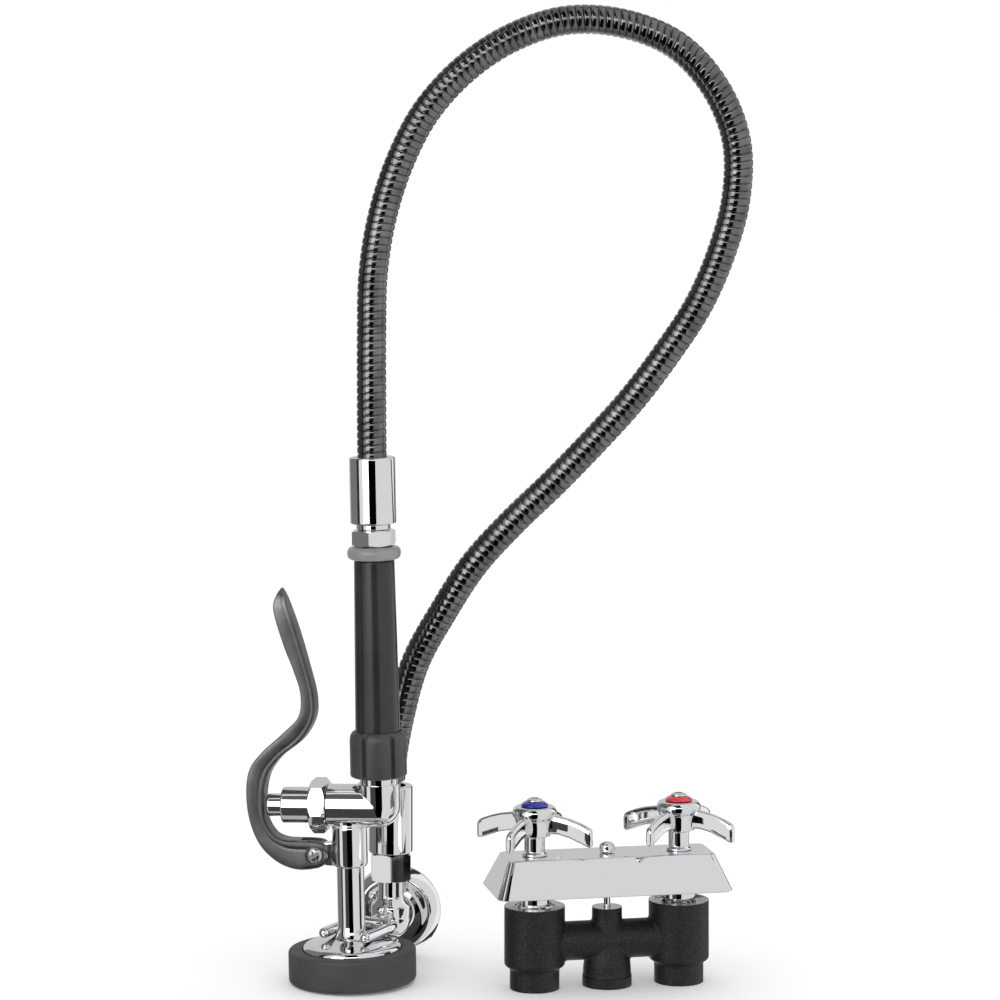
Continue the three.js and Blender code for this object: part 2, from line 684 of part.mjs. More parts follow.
function armOutline() {
  const shape = new THREE.Shape();
  shape.moveTo(5, -4);
  shape.splineThru([[15, -4.8], [26, -6.6], [36, -9.6], [42, -12.2]].map(([x, z]) => new THREE.Vector2(x, z)));
  shape.lineTo(43, -14);
  shape.lineTo(42.4, -24.2);
  shape.lineTo(40.8, -25.2);
  shape.splineThru([[34, -22.8], [26, -19.6], [17, -18], [5, -18.6]].map(([x, z]) => new THREE.Vector2(x, z)));
  return shape;
}

function handleArm(angle) {
  return plateXZ(armOutline(), 5.6, 1).rotateZ(THREE.MathUtils.degToRad(angle));
}

function crossHandle(name, armAngle, eyeTurn) {
  const hub = turned([
    [0, 0], [13.4, 0], [15.2, -1.6], [15.4, -5.6], [14, -7], [13.4, -12], [11.4, HUB_BOTTOM + 1.4],
    [10.4, HUB_BOTTOM], [0, HUB_BOTTOM],
  ], FINE);
  const arms = [0, 90, 180, 270].map((turn) => handleArm(armAngle + turn));
  const eyeAngle = THREE.MathUtils.degToRad(armAngle + eyeTurn);
  const eye = alongY(rod(3.6, -5, 5, 12)).translate(34.5, 0, -15).rotateZ(eyeAngle);
  const socket = rod(3.5, -12, 1);
  const recess = rod(6.8, HUB_BOTTOM - 1, -11);
  return piece(name, cut(join(hub, ...arms), eye, socket, recess), chrome);
}

function handleSet(prefix, indexMaterial, armAngle, eyeTurn) {
  const spindle = turned([
    [0, 41.4], [2.9, 41.4], [2.9, HANDLE_TOP - 6], [0, HANDLE_TOP - 6],
  ], 16);
  const index = turned([
    [3.4, GAP], [9.4, GAP], [9.2, 1.2], [7.4, 2.7], [5.9, 3.2], [3.4, 3.2],
  ]).translate(0, 0, HANDLE_TOP);
  const screw = turned([
    [0, -5.4], [2.6, -5.4], [2.6, 3.5], [5.5, 3.5], [5.3, 4.6], [3.4, 5.3], [0, 5.5],
  ], 18).translate(0, 0, HANDLE_TOP);
  const grip = crossHandle(`${prefix}_handle`, armAngle, eyeTurn);
  grip.position.z = HANDLE_TOP;
  return [
    grip,
    piece(`${prefix}_index_ring`, index, indexMaterial),
    piece(`${prefix}_handle_screw`, screw, chrome),
    piece(`${prefix}_spindle`, spindle, brass),
  ];
}

function valveSide(prefix, side, indexMaterial, armAngle, eyeTurn) {
  return placed([side * VALVE_SPACING / 2, 0, 0], [0, 0, 0], [
    cartridge(prefix),
    discHolder(prefix),
    handleSet(prefix, indexMaterial, armAngle, eyeTurn),
  ].flat());
}

function mixingValve() {
  return placed(MIXER, [0, 0, MIXER_YAW], [
    mixerBody(),
    escutcheon(),
    centreScrew(),
    valveSide('cold', -1, coldBlue, COLD_ARMS, 90),
    valveSide('hot', 1, hotRed, HOT_ARMS, 180),
  ]);
}

// ---------------------------------------------------------------- the whole set
const group = new THREE.Group();
group.name = 'pre_rinse_faucet';
group.add(wallOutlet(), hose(), sprayValve(), mixingValve());

export default group;
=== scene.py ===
"""Looks of the pre-rinse faucet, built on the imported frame.

Lengths are in millimetres in the groups' own frames, as in the CAD, and become metres in place().
The hose route, the camera and the studio are in metres.
"""

import json
import math

import bmesh
import bpy
from mathutils import Matrix, Vector


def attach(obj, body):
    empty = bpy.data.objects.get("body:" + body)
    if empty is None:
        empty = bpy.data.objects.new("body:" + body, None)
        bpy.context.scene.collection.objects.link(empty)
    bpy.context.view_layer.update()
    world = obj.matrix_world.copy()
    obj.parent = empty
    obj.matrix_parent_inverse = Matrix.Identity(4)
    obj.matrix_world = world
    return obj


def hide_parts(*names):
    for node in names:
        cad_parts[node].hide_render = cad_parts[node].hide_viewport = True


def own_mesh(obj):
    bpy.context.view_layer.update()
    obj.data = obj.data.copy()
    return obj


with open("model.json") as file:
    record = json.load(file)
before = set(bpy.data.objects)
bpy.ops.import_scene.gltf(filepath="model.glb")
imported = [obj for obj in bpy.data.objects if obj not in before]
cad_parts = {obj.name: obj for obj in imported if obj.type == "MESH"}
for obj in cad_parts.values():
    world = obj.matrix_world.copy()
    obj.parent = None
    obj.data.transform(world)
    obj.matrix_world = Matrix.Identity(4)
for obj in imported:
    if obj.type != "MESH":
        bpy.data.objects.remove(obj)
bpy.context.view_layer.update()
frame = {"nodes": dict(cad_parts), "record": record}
MM = 0.001

# ---------------------------------------------------------------- where the groups stand
SPRAY_BASE = (-95, -16, 0.92)
SPRAY_LEAN = 1.2
SPRAY_YAW = 9
HANDLE_X = 21.2
BARREL_Z = 120.2
PIVOT = (-23.4, 87.1)
OUTLET_CENTRE = (-70.5, 32.5, 32)
OUTLET_YAW = 6
FORK_YAW = 21.5
MIXER_BASE = (80, -24.5, 0)
MIXER_YAW = 11.3
VALVE_SPACING = 101.6
BODY_TOP = 56.3
PLATE_BASE = 66.6
PLATE_TOP = 90.6
HANDLE_TOP = 124.3
COLD_ARMS = -36.3
HOT_ARMS = -43.2


def turn(degrees, axis):
    return Matrix.Rotation(math.radians(degrees), 4, axis)


def move(x, y, z):
    return Matrix.Translation((x, y, z))


SPRAY = move(*SPRAY_BASE) @ turn(-SPRAY_LEAN, "Y") @ turn(-SPRAY_YAW, "Z")
HANDLE = SPRAY @ move(HANDLE_X, 0, 0)
BARREL = SPRAY @ move(0, 0, BARREL_Z) @ turn(90, "Y")
OUTLET = move(*OUTLET_CENTRE) @ turn(-OUTLET_YAW, "Z")
BRANCH = OUTLET @ turn(-90, "X")
FORK = OUTLET @ move(0, 0, 1.5) @ turn(-FORK_YAW, "Z")
MIXER = move(*MIXER_BASE) @ turn(MIXER_YAW, "Z")
COLD = MIXER @ move(-VALVE_SPACING / 2, 0, 0)
HOT = MIXER @ move(VALVE_SPACING / 2, 0, 0)

# ---------------------------------------------------------------- hose route, metres
HOSE_DIAMETER = 0.0205
HOSE_ROUTE = [
    (-0.0814, -0.0193, 0.3524), (-0.0818, -0.0193, 0.372), (-0.082, -0.019, 0.408),
    (-0.082, -0.018, 0.447), (-0.081, -0.018, 0.487), (-0.075, -0.016, 0.526),
    (-0.063, -0.015, 0.564), (-0.045, -0.013, 0.599), (-0.018, -0.011, 0.629),
    (0.015, -0.008, 0.651), (0.052, -0.006, 0.663), (0.092, -0.003, 0.661),
    (0.129, -0.001, 0.646), (0.156, 0.002, 0.617), (0.171, 0.005, 0.580),
    (0.171, 0.008, 0.540), (0.161, 0.010, 0.502), (0.145, 0.013, 0.465),
    (0.123, 0.016, 0.431), (0.099, 0.018, 0.399), (0.072, 0.020, 0.369),
    (0.044, 0.022, 0.340), (0.015, 0.024, 0.312), (-0.012, 0.027, 0.282),
    (-0.034, 0.029, 0.248), (-0.053, 0.031, 0.213), (-0.064, 0.032, 0.174),
    (-0.0698, 0.0325, 0.140), (-0.0705, 0.0325, 0.116),
]


# ---------------------------------------------------------------- camera
CAMERA_SPOT = (0.0065, -2.223, 0.5455)
CAMERA_LENS = 115.2
CAMERA_SHIFT = -0.31


def make_camera():
    """A level camera whose picture is shifted down, so that uprights stay upright."""
    data = bpy.data.cameras.new("camera")
    data.sensor_width = 36
    data.lens = CAMERA_LENS
    data.shift_y = CAMERA_SHIFT
    data.clip_end = 30
    camera = bpy.data.objects.new("camera", data)
    camera.location = CAMERA_SPOT
    camera.rotation_euler = (math.radians(90), 0, 0)
    bpy.context.scene.collection.objects.link(camera)
    bpy.context.scene.camera = camera


# ---------------------------------------------------------------- material nodes
def shader(name, color, roughness, metallic=0.0, coat=0.0):
    made = bpy.data.materials.new(name)
    made.use_nodes = True
    node = made.node_tree.nodes["Principled BSDF"]
    node.inputs["Base Color"].default_value = (*color, 1)
    node.inputs["Roughness"].default_value = roughness
    node.inputs["Metallic"].default_value = metallic
    node.inputs["Coat Weight"].default_value = coat
    node.inputs["Coat Roughness"].default_value = 0.05
    return made


def noise(made, scale, detail=4.0):
    tree = made.node_tree
    place = tree.nodes.new("ShaderNodeTexCoord")
    texture = tree.nodes.new("ShaderNodeTexNoise")
    texture.inputs["Scale"].default_value = scale
    texture.inputs["Detail"].default_value = detail
    tree.links.new(place.outputs["Object"], texture.inputs["Vector"])
    return texture.outputs["Fac"]


def ramp(made, source, stops):
    node = made.node_tree.nodes.new("ShaderNodeValToRGB")
    elements = node.color_ramp.elements
    while len(elements) < len(stops):
        elements.new(0.5)
    for element, (position, color) in zip(elements, stops):
        element.position = position
        element.color = (*color, 1)
    made.node_tree.links.new(source, node.inputs["Fac"])
    return node.outputs["Color"]


def vary_color(made, source, stops):
    node = made.node_tree.nodes["Principled BSDF"]
    made.node_tree.links.new(ramp(made, source, stops), node.inputs["Base Color"])


def vary_roughness(made, source, low, high):
    node = made.node_tree.nodes["Principled BSDF"]
    spread = made.node_tree.nodes.new("ShaderNodeMapRange")
    spread.inputs["From Min"].default_value = 0.3
    spread.inputs["From Max"].default_value = 0.7
    spread.inputs["To Min"].default_value = low
    spread.inputs["To Max"].default_value = high
    made.node_tree.links.new(source, spread.inputs["Value"])
    made.node_tree.links.new(spread.outputs["Result"], node.inputs["Roughness"])


def add_bump(made, source, strength, distance):
    node = made.node_tree.nodes["Principled BSDF"]
    bump = made.node_tree.nodes.new("ShaderNodeBump")
    bump.inputs["Strength"].default_value = strength
    bump.inputs["Distance"].default_value = distance
    made.node_tree.links.new(source, bump.inputs["Height"])
    made.node_tree.links.new(bump.outputs["Normal"], node.inputs["Normal"])


def make_chrome(name, waviness):
    made = shader(name, (0.80, 0.81, 0.82), 0.05, 1.0)
    vary_roughness(made, noise(made, 60.0), 0.03, 0.075)
    add_bump(made, noise(made, 70.0, 1.5), waviness, 0.0006)
    return made


def make_hose_steel():
    made = shader("hose_steel", (0.18, 0.18, 0.176), 0.15, 1.0)
    vary_color(made, noise(made, 90.0), [(0.35, (0.13, 0.13, 0.128)), (0.65, (0.22, 0.22, 0.215))])
    vary_roughness(made, noise(made, 350.0), 0.1, 0.19)
    return made


def make_steel():
    made = shader("screw_steel", (0.55, 0.55, 0.54), 0.25, 1.0)
    vary_roughness(made, noise(made, 500.0), 0.18, 0.32)
    return made


def make_lever_metal():
    made = shader("lever_metal", (0.2, 0.2, 0.2), 0.36, 1.0)
    vary_color(made, noise(made, 60.0), [(0.3, (0.15, 0.15, 0.15)), (0.7, (0.24, 0.24, 0.24))])
    vary_roughness(made, noise(made, 300.0), 0.3, 0.44)
    add_bump(made, noise(made, 900.0), 0.18, 0.0002)
    return made


def make_brass():
    made = shader("machined_brass", (0.62, 0.44, 0.19), 0.3, 1.0)
    vary_roughness(made, noise(made, 300.0), 0.24, 0.38)
    return made


def make_casting():
    made = shader("rough_casting", (0.03, 0.03, 0.031), 0.5, 0.35)
    grain = noise(made, 1500.0, 6.0)
    # Colour from the fine noise: random dark tone of the cast grain, plus light flecks at the top of the
    # ramp that are painted glints standing in for the grain's speckle highlights.
    vary_color(made, grain, [
        (0.42, (0.009, 0.009, 0.0095)), (0.6, (0.022, 0.022, 0.023)), (0.72, (0.1, 0.1, 0.1)),
    ])
    vary_roughness(made, grain, 0.58, 0.36)
    add_bump(made, grain, 0.6, 0.0005)
    return made


def make_machined():
    made = shader("machined_rim", (0.5, 0.5, 0.49), 0.22, 1.0)
    vary_roughness(made, noise(made, 400.0), 0.16, 0.3)
    return made


def make_plastic(name, color, roughness, grain=0.12, scale=1500.0):
    made = shader(name, color, roughness)
    dark = tuple(0.86 * c for c in color)
    light = tuple(min(1.0, 1.14 * c) for c in color)
    vary_color(made, noise(made, 45.0), [(0.35, dark), (0.65, light)])
    vary_roughness(made, noise(made, 120.0), roughness - 0.04, roughness + 0.06)
    add_bump(made, noise(made, scale), grain, 0.0002)
    return made


def make_gloss(name, color):
    made = shader(name, color, 0.22, 0.0, 0.6)
    dark = tuple(0.9 * c for c in color)
    vary_color(made, noise(made, 150.0), [(0.35, dark), (0.65, color)])
    return made


CHROME = make_chrome("chrome", 0.0)
CAST_CHROME = make_chrome("cast_chrome", 0.16)
HOSE_STEEL = make_hose_steel()
SCREW_STEEL = make_steel()
LEVER_METAL = make_lever_metal()
BRASS = make_brass()
CASTING = make_casting()
MACHINED = make_machined()
GRIP_RUBBER = make_plastic("grip_rubber", (0.024, 0.024, 0.025), 0.2)
COLLAR_RUBBER = make_plastic("collar_rubber", (0.05, 0.05, 0.052), 0.38)
BLACK_RUBBER = make_plastic("black_rubber", (0.052, 0.052, 0.052), 0.55, 0.3, 900.0)
GREY_PLASTIC = make_plastic("grey_plastic", (0.25, 0.25, 0.25), 0.2)
COLD_BLUE = make_gloss("cold_blue", (0.017, 0.018, 0.36))
HOT_RED = make_gloss("hot_red", (0.72, 0.03, 0.045))


# ---------------------------------------------------------------- mesh helpers
def mesh_from(vertices, faces):
    made = bmesh.new()
    rows = [made.verts.new(v) for v in vertices]
    for face in faces:
        corners = list(dict.fromkeys(face))
        if len(corners) > 2:
            made.faces.new([rows[i] for i in corners])
    bmesh.ops.remove_doubles(made, verts=made.verts, dist=1e-5)
    bmesh.ops.recalc_face_normals(made, faces=made.faces)
    return made


def rounded(outline, closed):
    """Outline points (r, z) or (r, z, radius): the last kind becomes a small curve."""
    points = []
    count = len(outline)
    for i, point in enumerate(outline):
        corner = Vector(point[:2])
        if len(point) < 3 or (not closed and i in (0, count - 1)):
            points.append(corner)
            continue
        before = Vector(outline[i - 1][:2])
        after = Vector(outline[(i + 1) % count][:2])
        start = corner + (before - corner).normalized() * min(point[2], 0.5 * (before - corner).length)
        end = corner + (after - corner).normalized() * min(point[2], 0.5 * (after - corner).length)
        for k in range(6):
            t = k / 5
            points.append(start * (1 - t) ** 2 + corner * 2 * t * (1 - t) + end * t * t)
    return points


def turned(outline, segments=96):
    """Solid of revolution about Z. An outline that starts on the axis ends on it too."""
    closed = outline[0][0] > 0
    points = rounded(outline, closed)
    count = len(points)
    vertices = []
    for i in range(segments):
        angle = 2 * math.pi * i / segments
        vertices += [(p.x * math.cos(angle), p.x * math.sin(angle), p.y) for p in points]
    faces = []
    for i in range(segments):
        here = i * count
        there = ((i + 1) % segments) * count
        for k in range(count if closed else count - 1):
            n = (k + 1) % count
            faces.append((here + k, there + k, there + n, here + n))
    return mesh_from(vertices, faces)


def cylinder(radius, low, high, segments=64):
    return turned([(0, low), (radius, low), (radius, high), (0, high)], segments)


def prism(outline, low, high):
    count = len(outline)
    vertices = [(x, y, low) for x, y in outline] + [(x, y, high) for x, y in outline]
    faces = [tuple(range(count)), tuple(range(count, 2 * count))]
    faces += [(i, (i + 1) % count, count + (i + 1) % count, count + i) for i in range(count)]
    return mesh_from(vertices, faces)


def loft(rings):
    count = len(rings[0])
    vertices = [v for ring in rings for v in ring]
    faces = [tuple(range(count)), tuple(range((len(rings) - 1) * count, len(rings) * count))]
    for row in range(len(rings) - 1):
        for i in range(count):
            a = row * count + i
            b = row * count + (i + 1) % count
            faces.append((a, b, b + count, a + count))
    return mesh_from(vertices, faces)


def box(size, centre):
    half = [s / 2 for s in size]
    outline = [(-half[0], -half[1]), (half[0], -half[1]), (half[0], half[1]), (-half[0], half[1])]
    return shifted(prism(outline, -half[2], half[2]), move(*centre))


def shifted(mesh, matrix):
    bmesh.ops.transform(mesh, matrix=matrix, verts=mesh.verts)
    return mesh


def merged(*meshes):
    whole = bmesh.new()
    for part in meshes:
        carrier = bpy.data.meshes.new("carrier")
        part.to_mesh(carrier)
        whole.from_mesh(carrier)
        part.free()
        bpy.data.meshes.remove(carrier)
    return whole


def smooth_line(points, steps):
    """Centripetal Catmull-Rom line through the points, `steps` pieces for each stretch."""
    points = [Vector(p) for p in points]
    last = len(points) - 1
    first = points[0] * 2 - points[1]
    final = points[last] * 2 - points[last - 1]
    chain = [first] + points + [final]
    line = []
    for i in range(last):
        p0, p1, p2, p3 = chain[i:i + 4]
        t1 = math.sqrt(max((p1 - p0).length, 1e-9))
        t2 = t1 + math.sqrt(max((p2 - p1).length, 1e-9))
        t3 = t2 + math.sqrt(max((p3 - p2).length, 1e-9))
        for k in range(steps):
            t = t1 + (t2 - t1) * k / steps
            a1 = p0 * ((t1 - t) / t1) + p1 * (t / t1)
            a2 = p1 * ((t2 - t) / (t2 - t1)) + p2 * ((t - t1) / (t2 - t1))
            a3 = p2 * ((t3 - t) / (t3 - t2)) + p3 * ((t - t2) / (t3 - t2))
            b1 = a1 * ((t2 - t) / t2) + a2 * (t / t2)
            b2 = a2 * ((t3 - t) / (t3 - t1)) + a3 * ((t - t1) / (t3 - t1))
            line.append(b1 * ((t2 - t) / (t2 - t1)) + b2 * ((t - t1) / (t2 - t1)))
    line.append(points[last])
    return line


def carried_frames(line, side=(0, 1, 0)):
    """Position, side and up vectors along a line, carried along without twist.

    The first side vector must not lie along the line.
    """
    frames = []
    side = Vector(side)
    for i, point in enumerate(line):
        ahead = (line[min(i + 1, len(line) - 1)] - line[max(i - 1, 0)]).normalized()
        side = (side - ahead * side.dot(ahead)).normalized()
        frames.append((point, side, ahead.cross(side)))
    return frames


def bar(points, radius, sides=24, steps=8):
    """Round bar along a smooth line that lies in a level plane."""
    rings = []
    for centre, side, up in carried_frames(smooth_line(points, steps), (0, 0, 1)):
        ring = []
        for j in range(sides):
            angle = 2 * math.pi * j / sides
            ring.append(centre + (side * math.cos(angle) + up * math.sin(angle)) * radius)
        rings.append(ring)
    return loft(rings)


def object_from(name, mesh):
    data = bpy.data.meshes.new(name)
    mesh.to_mesh(data)
    mesh.free()
    made = bpy.data.objects.new(name, data)
    bpy.context.scene.collection.objects.link(made)
    return made


def evaluated(source):
    """Mesh of an object with its modifiers applied; the object goes."""
    bpy.context.view_layer.update()
    data = bpy.data.meshes.new_from_object(source.evaluated_get(bpy.context.evaluated_depsgraph_get()))
    made = bmesh.new()
    made.from_mesh(data)
    bpy.data.meshes.remove(data)
    bpy.data.objects.remove(source)
    return made


def combined(mesh, operation, *others):
    source = object_from("source", mesh)
    helpers = [object_from("helper", other) for other in others]
    for helper in helpers:
        modifier = source.modifiers.new("combine", "BOOLEAN")
        modifier.operation = operation
        modifier.solver = "EXACT"
        modifier.object = helper
    made = evaluated(source)
    for helper in helpers:
        bpy.data.objects.remove(helper)
    return made


def cut(mesh, *tools):
    return combined(mesh, "DIFFERENCE", *tools)


def cast(mesh, voxel, passes):
    """One skin over overlapping solids, with the junctions softened as in a casting."""
    source = object_from("source", mesh)
    remesh = source.modifiers.new("skin", "REMESH")
    remesh.mode = "VOXEL"
    remesh.voxel_size = voxel
    smooth = source.modifiers.new("soften", "SMOOTH")
    smooth.factor = 0.5
    smooth.iterations = passes
    return evaluated(source)


def bevelled(mesh, width, segments=3, angle=30):
    source = object_from("source", mesh)
    modifier = source.modifiers.new("edges", "BEVEL")
    modifier.width = width
    modifier.segments = segments
    modifier.limit_method = "ANGLE"
    modifier.angle_limit = math.radians(angle)
    modifier.use_clamp_overlap = True
    return evaluated(source)


def place(name, mesh, where, look, body, nodes, slot, sharp=40):
    """Puts a mesh where it belongs, in metres, and hides the CAD parts that it stands for."""
    shifted(mesh, Matrix.Scale(MM, 4) @ where)
    made = object_from(name, mesh)
    made.data.materials.append(look)
    made.data.polygons.foreach_set("use_smooth", [True] * len(made.data.polygons))
    made.data.set_sharp_from_angle(angle=math.radians(sharp))
    even = made.modifiers.new("even_normals", "WEIGHTED_NORMAL")
    even.keep_sharp = True
    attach(made, body)
    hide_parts(*nodes)
    return made


# ---------------------------------------------------------------- hose
HOSE_PITCH = 0.0051
POINTS_PER_TURN = 32
# One turn of the strip: (share of the pitch, share of the radius).
HOSE_SAMPLES = [(0.0, 0.915), (0.05, 0.955), (0.11, 0.99), (0.3, 1.0), (0.6, 1.0), (0.84, 0.99),
                (0.91, 0.955), (0.96, 0.915)]


def even_points(line, spacing):
    """The line again, with its points the same distance apart."""
    points = [line[0].copy()]
    wanted = spacing
    walked = 0.0
    for a, b in zip(line, line[1:]):
        length = (b - a).length
        while walked + length >= wanted:
            points.append(a.lerp(b, (wanted - walked) / length))
            wanted += spacing
        walked += length
    return points


def hose_mesh(sides=40):
    """Wound steel strip: one helical band whose edges dip between the turns."""
    fine = HOSE_PITCH / POINTS_PER_TURN
    frames = carried_frames(even_points(smooth_line(HOSE_ROUTE, 40), fine))
    count = len(HOSE_SAMPLES)
    turns = int((len(frames) - 2 * POINTS_PER_TURN) / POINTS_PER_TURN)
    vertices = []
    for row in range(turns * count):
        wind, sample = divmod(row, count)
        along, height = HOSE_SAMPLES[sample]
        for j in range(sides):
            angle = 2 * math.pi * j / sides
            centre, side, up = frames[int(POINTS_PER_TURN * (wind + along + j / sides)) + 1]
            radius = 0.5 * HOSE_DIAMETER * height
            vertices.append(centre + (side * math.cos(angle) + up * math.sin(angle)) * radius)
    faces = []
    for row in range(turns * count - count - 1):
        for j in range(sides - 1):
            a = row * sides + j
            faces.append((a, a + 1, a + 1 + sides, a + sides))
        seam = row * sides + sides - 1
        next_turn = (row + count) * sides
        faces.append((seam, next_turn, next_turn + sides, seam + sides))
    return mesh_from(vertices, faces)


def make_hose():
    mesh = hose_mesh()
    shifted(mesh, Matrix.Scale(1 / MM, 4))
    made = place("wound_hose", mesh, Matrix(), HOSE_STEEL, "wall_set", ["hose"], "steel", sharp=50)


# ---------------------------------------------------------------- fittings
TAILPIECE_BORE = 7.6
NUT_BORE = 9.1
NUT_MOUTH = 7.7
FERRULE_BORE = 10.6
NUT_LIP = 2.6


def hexagon(corner_radius, low, high, spin=0.0, chamfer=1.2):
    """Hexagonal nut body about Z with its corners turned off at both ends."""
    outline = []
    for i in range(6):
        angle = math.radians(60 * i + spin)
        outline.append((corner_radius * math.cos(angle), corner_radius * math.sin(angle)))
    across = corner_radius * math.cos(math.radians(30))
    barrel = turned([
        (0, low), (across - 0.3, low), (corner_radius, low + chamfer), (corner_radius, high - chamfer),
        (across - 0.3, high), (0, high),
    ])
    return combined(prism(outline, low - 1, high + 1), "INTERSECT", barrel)


def hose_nut(name, where, low, high, corner_radius, spin, body, node):
    solid = hexagon(corner_radius, low, high, spin)
    solid = cut(solid, cylinder(NUT_BORE, low - 1, high - NUT_LIP), cylinder(NUT_MOUTH, low, high + 1))
    place(name, bevelled(solid, 0.35, 2), where, CHROME, body, [node], "chrome", sharp=60)


def hose_ferrule(name, where, radius, low, high, seat, body, node):
    outline = [
        (TAILPIECE_BORE, low), (radius, low, 1.3), (radius, high, 1.6), (FERRULE_BORE, high, 0.4),
        (FERRULE_BORE, seat), (TAILPIECE_BORE, seat),
    ]
    place(name, turned(outline, 128), where, CHROME, body, [node], "chrome")


# ---------------------------------------------------------------- wall outlet
def make_outlet():
    elbow = merged(
        turned([(0, -14), (9.9, -9.9), (14, 0, 6), (14, 10, 1.6), (9, 15.5, 2.0), (8.8, 40), (0, 40)]),
        shifted(turned([(0, -13.8), (9.8, -9.8), (13.7, 0, 5), (13.6, 24, 0.8), (0, 24)]), turn(-90, "X")),
        bmesh_sphere(13.9),
    )
    elbow = cast(elbow, 0.42, 10)
    place("outlet_elbow_skin", elbow, OUTLET, CAST_CHROME, "wall_set", ["outlet_elbow"], "chrome")
    nipple = turned([(6.6, 12.4), (9.3, 12.4), (9.3, 43, 0.6), (6.6, 43, 0.4)])
    place("wall_nipple_skin", nipple, BRANCH, BRASS, "wall_set", ["wall_nipple"], "brass")
    flange = [
        (31.8, 30), (31.8, 28.6, 0.5), (30.2, 24.5, 2), (27.8, 19.6, 3), (25.2, 17, 1.6),
        (22.8, 17.6, 1.5), (19.5, 19, 2), (14.2, 19.4, 0.3), (14.2, 21.2, 0.3), (18.8, 21, 1),
        (22.6, 20.2, 1.5), (25.2, 21.4, 2), (28, 26, 1), (29, 30, 0.2),
    ]
    place("wall_flange_skin", turned(flange, 160), BRANCH, CHROME, "wall_set", ["wall_flange"], "chrome")
    hose_nut("outlet_nut_skin", OUTLET, 27.7, 47.1, 15.6, 41.5, "wall_set", "outlet_hose_nut")
    hose_ferrule("outlet_ferrule_skin", OUTLET, 15.7, 47.4, 94.1, 62, "wall_set", "outlet_hose_ferrule")
    make_fork()


def bmesh_sphere(radius):
    made = bmesh.new()
    bmesh.ops.create_uvsphere(made, u_segments=48, v_segments=32, radius=radius)
    return made


FORK_SPACING = 32.5
FORK_ROOT = 21.5
FORK_LENGTH = 68
PRONG_RADIUS = 3.7


def make_fork():
    half = FORK_SPACING / 2
    root = FORK_ROOT
    tip = FORK_LENGTH - PRONG_RADIUS
    bend = 7
    sides = []
    for s in (-1, 1):
        sides.append([
            (s * half, -tip, 0), (s * half, -(tip + root) / 2, 0), (s * half, -root - bend, 0),
            (s * (half - 0.25 * bend), -root - 0.3 * bend, 0), (s * (half - bend), -root, 0),
        ])
    path = sides[0] + [(0, -root, 0)] + sides[1][::-1]
    shank = turned([(0, -root), (4.2, -root), (5.5, -17.5, 2), (5.5, -13.9), (0, -13.9)])
    solid = merged(
        bar(path, PRONG_RADIUS, 28, 10),
        shifted(bmesh_sphere(PRONG_RADIUS), move(-half, -tip, 0)),
        shifted(bmesh_sphere(PRONG_RADIUS), move(half, -tip, 0)),
        shifted(shank, turn(-90, "X")),
    )
    place("rest_fork_skin", cast(solid, 0.32, 5), FORK, CAST_CHROME, "wall_set", ["rest_fork"], "chrome")


# ---------------------------------------------------------------- spray valve: handle
GRIP_BORE = 8.9
GRIP_LOW = 160.3
GRIP_HIGH = 289.4
COLLAR_LOW = 140.6
COLLAR_HIGH = 172.1
COLLAR_RADIUS = 19.7
COLLAR_TURN = 11.85
FLUTES = 6
GROOVE_DEPTH = 3.0


def make_handle():
    body = "spray_valve"
    grip = [
        (GRIP_BORE, GRIP_LOW), (15.4, GRIP_LOW, 0.8), (15.5, 172, 4), (14, GRIP_HIGH, 1.2),
        (GRIP_BORE, GRIP_HIGH),
    ]
    place("grip_skin", turned(grip, 128), HANDLE, GRIP_RUBBER, body, ["grip"], "grip_rubber")
    place("grip_collar_skin", collar_mesh(), HANDLE, COLLAR_RUBBER, body, ["grip_collar"], "grip_rubber", 55)
    ring = [(9.1, 289.9, 1.6), (18.6, 289.9, 4.4), (18.6, 299, 4.4), (9.1, 299, 1.6)]
    place("grip_ring_skin", turned(ring, 128), HANDLE, GREY_PLASTIC, body, ["grip_ring"], "grey_plastic")
    hose_nut("handle_nut_skin", HANDLE, 299.5, 310.5, 15.8, 28.5, body, "handle_nut")
    neck = [
        (5, 305.9), (8.7, 305.9), (8.7, 307.5), (7.2, 307.5), (7.2, 310.8), (11.9, 310.8, 0.7),
        (11.9, 314.4, 0.7), (7.2, 314.4), (7.2, 341), (5, 341),
    ]
    place("handle_tailpiece_skin", turned(neck), HANDLE, CHROME, body, ["handle_hose_tailpiece"], "chrome")
    hose_ferrule("handle_ferrule_skin", HANDLE, 16, 314.7, 360.6, 330, body, "handle_hose_ferrule")
    place("handle_tube_skin", turned([(6, 130), (8.5, 130), (8.5, 303.5), (6, 303.5)]), HANDLE, CHROME,
          body, ["handle_tube"], "chrome")


def collar_mesh():
    """Collar under the grip: broad flutes with narrow grooves between them."""
    low = COLLAR_LOW
    high = COLLAR_HIGH
    profile = [
        (low, 17.9, 0.8), (low + 0.7, 19.2, 1.0), (low + 1.8, COLLAR_RADIUS, 1.0),
        (high - 6, COLLAR_RADIUS, 1.0), (high - 3.4, 19.3, 0.85), (high - 1.4, 18.2, 0.5),
        (high - 0.3, 17.0, 0.15), (high, 16.3, 0.0),
    ]
    steps = 240
    spacing = 360 / FLUTES
    rings = []
    for z, radius, depth in profile:
        ring = []
        for i in range(steps):
            angle = 360 * i / steps
            off = abs((angle + spacing / 2) % spacing - spacing / 2)
            dip = min(1.0, max(0.0, (6.2 - off) / 2.6))
            r = radius - GROOVE_DEPTH * depth * dip * dip * (3 - 2 * dip)
            turned_to = math.radians(angle + COLLAR_TURN)
            ring.append((r * math.cos(turned_to), r * math.sin(turned_to), z))
        rings.append(ring)
    return cut(loft(rings), cylinder(15.7, 160, high + 1, 96), cylinder(GRIP_BORE, low - 1, 161, 64))


